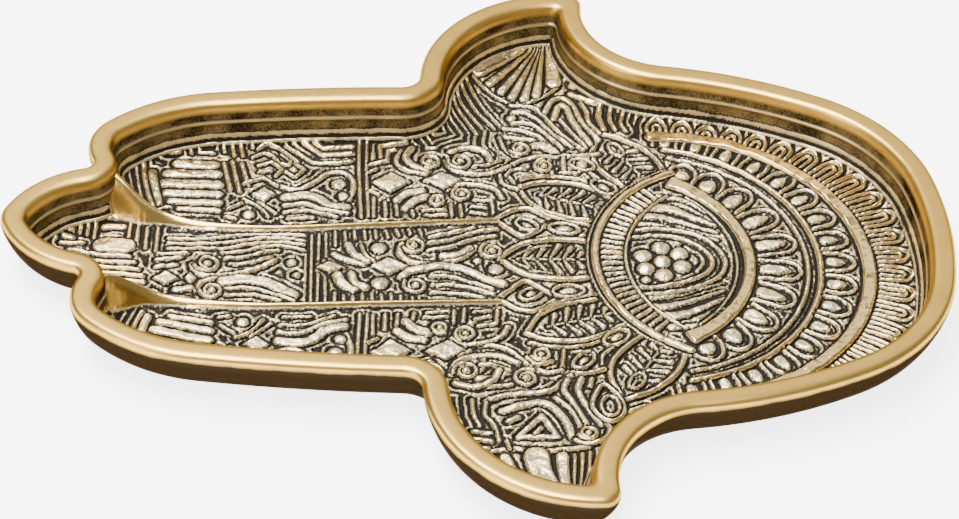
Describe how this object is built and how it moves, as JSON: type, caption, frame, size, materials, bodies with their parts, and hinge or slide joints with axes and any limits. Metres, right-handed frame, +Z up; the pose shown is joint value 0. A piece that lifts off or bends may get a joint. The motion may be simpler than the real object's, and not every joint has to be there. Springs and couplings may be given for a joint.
{
  "type": "hamsa hand ornament",
  "caption": "Hamsa hand ornament cast as a shallow dish with a raised rounded rim, and an eye, petals, leaves and scrolls in low relief on its floor.",
  "frame": {"origin": "middle of the part's bounding box in plan, on the table: the undersides of the felt pads", "axes": "+X from the middle finger's tip to the wrist, +Y towards one thumb, +Z up out of the hollow side"},
  "size_m": [0.28, 0.2262, 0.02],
  "materials": {
    "casting": "satin polished rim over a sand-cast ground, warm gold-tinted lacquer, darkened in the recesses",
    "relief": "rubbed bright on the tops, darkened at the foot",
    "felt": "pressed felt"
  },
  "bodies": {
    "root": {"tray_casting": "casting", "felt_pads": "felt", "eye_outline": "relief", "lash_line": "relief", "lash_ribs": "relief", "iris_rings": "relief", "pupil_beads": "relief", "double_ring": "relief", "thick_ring": "relief", "inner_petals": "relief", "middle_petals": "relief", "outer_arches": "relief", "leaf_frames": "relief", "leaf_veins": "relief", "finger_crossbars": "relief", "nail_ribs": "relief", "finger_diamonds": "relief", "finger_meanders": "relief", "finger_scrolls": "relief", "thumb_fans": "relief", "thumb_arcs": "relief"}
  },
  "joints": []
}
